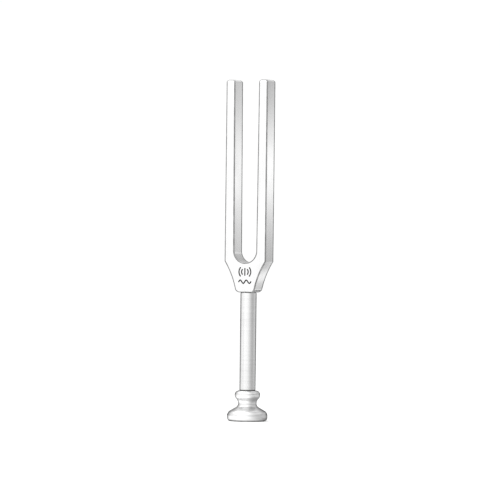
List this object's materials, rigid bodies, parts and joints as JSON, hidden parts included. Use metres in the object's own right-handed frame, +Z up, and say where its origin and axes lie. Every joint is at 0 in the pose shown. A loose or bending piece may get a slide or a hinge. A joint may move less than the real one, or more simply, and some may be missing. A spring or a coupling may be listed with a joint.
{
  "type": "tuning fork",
  "caption": "Clinical tuning fork: two flat prongs on a tapered yoke, a round stem screwed into it, and a turned foot with a rounded rim, waist and bead.",
  "frame": {"origin": "centre of the foot's flat base", "axes": "+Z up along the stem to the prongs' tips, +X across the two prongs, the marked front face towards -Y"},
  "size_m": [0.0226, 0.0202, 0.17],
  "materials": {
    "ground_steel": "fine satin, ground along the prongs, nickel plated",
    "drawn_steel": "satin, fine turning lines round the rod, nickel plated",
    "turned_steel": "smooth turned and polished satin, nickel plated"
  },
  "bodies": {
    "root": {"foot": "turned_steel", "stem": "drawn_steel", "fork_head": "ground_steel"}
  },
  "joints": []
}
